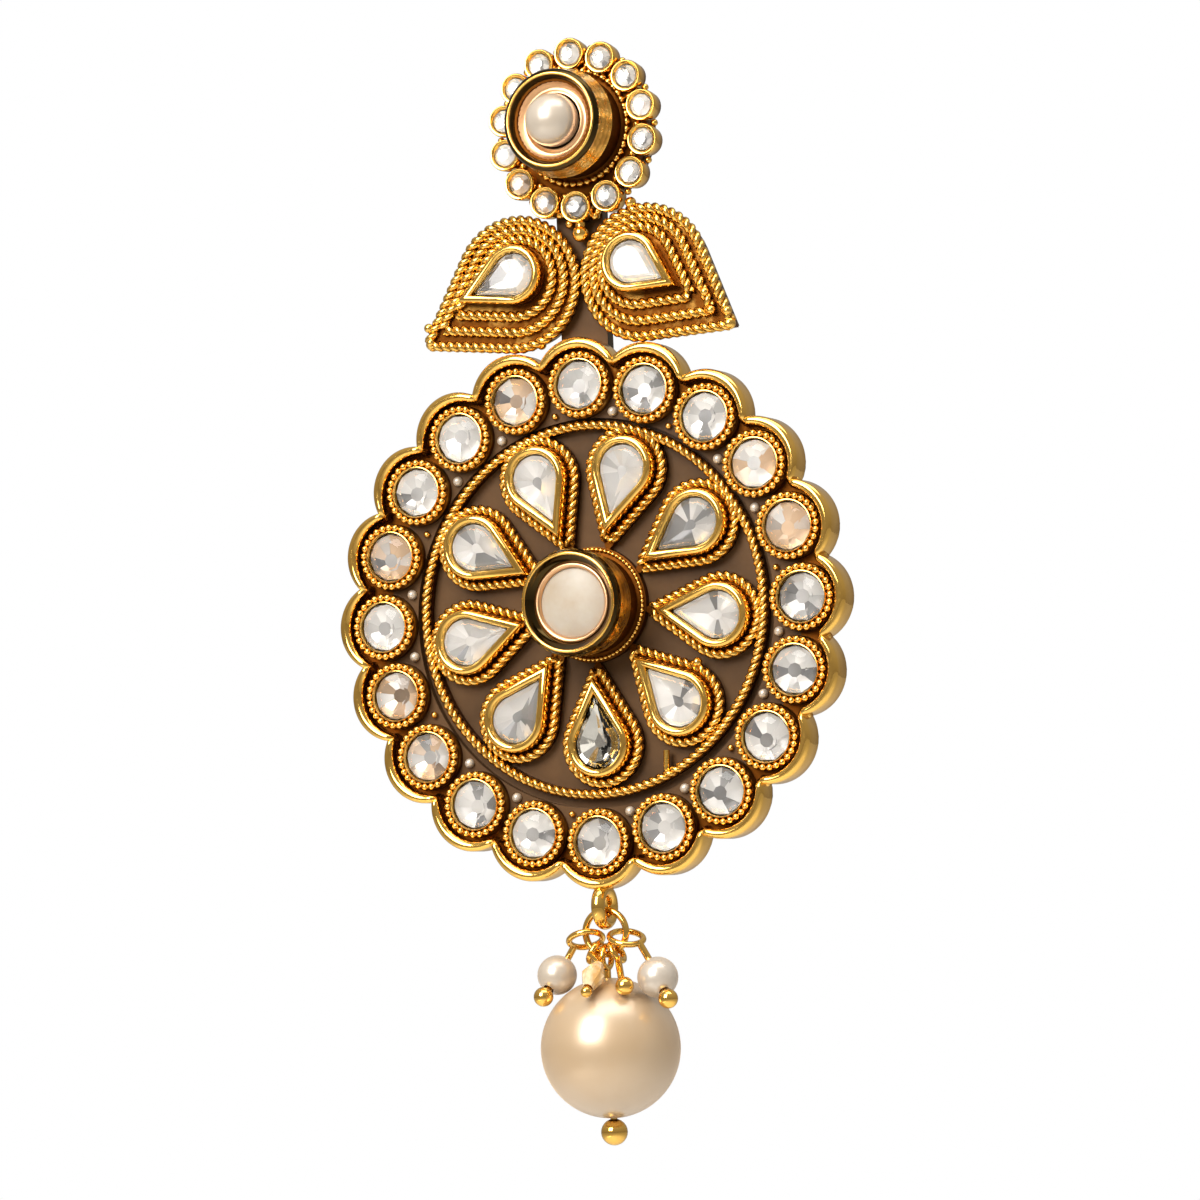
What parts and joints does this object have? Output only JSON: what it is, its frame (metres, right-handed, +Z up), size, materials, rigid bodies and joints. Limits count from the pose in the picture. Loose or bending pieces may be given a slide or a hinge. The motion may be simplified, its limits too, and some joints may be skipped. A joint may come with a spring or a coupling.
{
  "type": "hair braid ornament",
  "caption": "Gilt hair ornament: scalloped disc of round and teardrop stones under two wire leaves and a pearl flower, with a swinging pearl drop and a hair pin behind.",
  "frame": {"origin": "on the back of the plate, where the hair pin's crown lies across it", "axes": "+Z up along the ornament, -Y out of the face, +X to the viewer's right"},
  "size_m": [0.0478, 0.0178, 0.0957],
  "materials": {
    "gold": "gilt, polished on lips, antiqued in recesses",
    "lacquer": "taupe satin lacquer",
    "crystal": "foil-backed cut glass",
    "pearl": "cream pearl lustre",
    "cabochon": "cream translucent cabochon",
    "amber": "golden faceted glass"
  },
  "bodies": {
    "ornament": {"back_plate": "lacquer", "scallop_rim": "gold", "petal_rosette": "gold", "top_flower": "gold", "leaf_left": "gold", "leaf_right": "gold", "hair_pin": "gold", "centre_cabochon": "cabochon", "flower_pearl": "pearl", "round_stone_01": "crystal", "round_stone_02": "crystal", "round_stone_03": "crystal", "round_stone_04": "crystal", "round_stone_05": "crystal", "round_stone_06": "crystal", "round_stone_07": "crystal", "round_stone_08": "crystal", "round_stone_09": "crystal", "round_stone_10": "crystal", "round_stone_11": "crystal", "round_stone_12": "crystal", "round_stone_13": "crystal", "round_stone_14": "crystal", "round_stone_15": "crystal", "round_stone_16": "crystal", "round_stone_17": "crystal", "round_stone_18": "crystal", "round_stone_19": "crystal", "round_stone_20": "crystal", "petal_stone_1": "crystal", "petal_stone_2": "crystal", "petal_stone_3": "crystal", "petal_stone_4": "crystal", "petal_stone_5": "crystal", "petal_stone_6": "crystal", "petal_stone_7": "crystal", "petal_stone_8": "crystal", "petal_stone_9": "crystal", "leaf_stone_left": "crystal", "leaf_stone_right": "crystal"},
    "drop_ring": {"jump_ring": "gold"},
    "pearl_drop": {"drop_pin": "gold", "main_pearl": "pearl", "left_pin": "gold", "left_pearl": "pearl", "right_pin": "gold", "right_pearl": "pearl", "front_pin": "gold", "front_bead": "amber", "ball_pin": "gold"}
  },
  "joints": [
    {"name": "ring_swing", "type": "hinge", "parent": "ornament", "child": "drop_ring", "pos_m": [0, -0.0022, -0.0407], "axis": [0, 1, 0], "range_deg": [-40, 40]},
    {"name": "pearl_swing", "type": "hinge", "parent": "drop_ring", "child": "pearl_drop", "pos_m": [0, -0.0022, -0.0434], "axis": [1, 0, 0], "range_deg": [-18, 18]}
  ]
}
